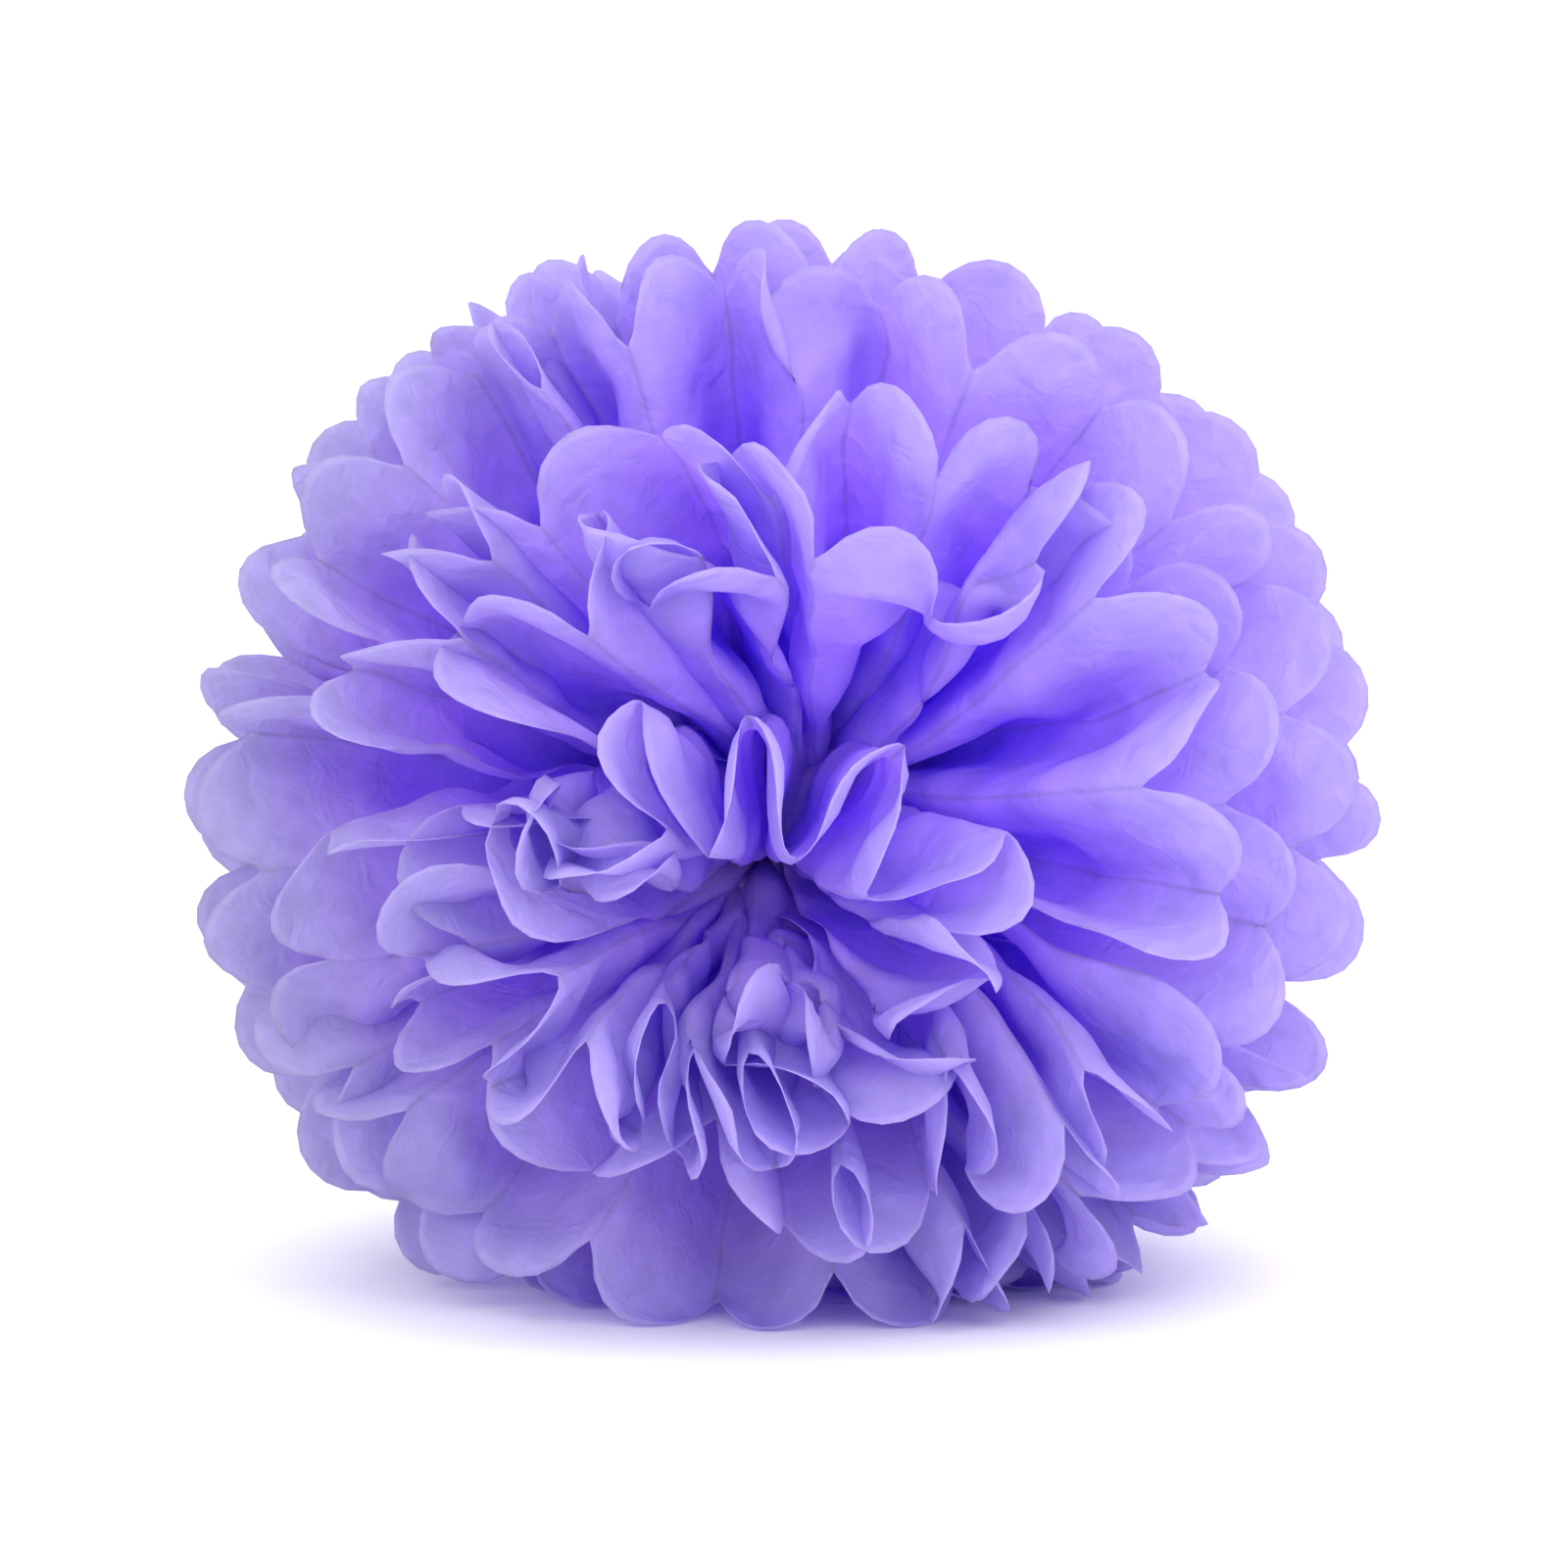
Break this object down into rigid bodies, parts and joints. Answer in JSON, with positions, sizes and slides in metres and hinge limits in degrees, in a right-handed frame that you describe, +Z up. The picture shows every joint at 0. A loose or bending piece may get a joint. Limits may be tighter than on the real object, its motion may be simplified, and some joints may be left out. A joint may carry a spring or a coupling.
{
  "type": "tissue paper pom pom",
  "caption": "Round party pom pom of pleated tissue paper sheets, tied in the middle with wire and opened into a ball of round-ended petals.",
  "frame": {"origin": "on the surface it rests on, under the middle of the ball's box", "axes": "+Z up; -Y is the front pole of the ball, where the frontmost sheet's petals open towards the viewer, and +Y the back pole; +X to the viewer's right"},
  "size_m": [0.2534, 0.2438, 0.2299],
  "materials": {
    "tissue": "soft matt lilac tissue paper, translucent, creased along the pleats",
    "wire": "plain galvanised tie wire"
  },
  "bodies": {
    "root": {"tissue_sheet_01": "tissue", "tissue_sheet_02": "tissue", "tissue_sheet_03": "tissue", "tissue_sheet_04": "tissue", "tissue_sheet_05": "tissue", "tissue_sheet_06": "tissue", "tissue_sheet_07": "tissue", "tissue_sheet_08": "tissue", "tissue_sheet_09": "tissue", "tissue_sheet_10": "tissue", "wire_tie": "wire"}
  },
  "joints": []
}
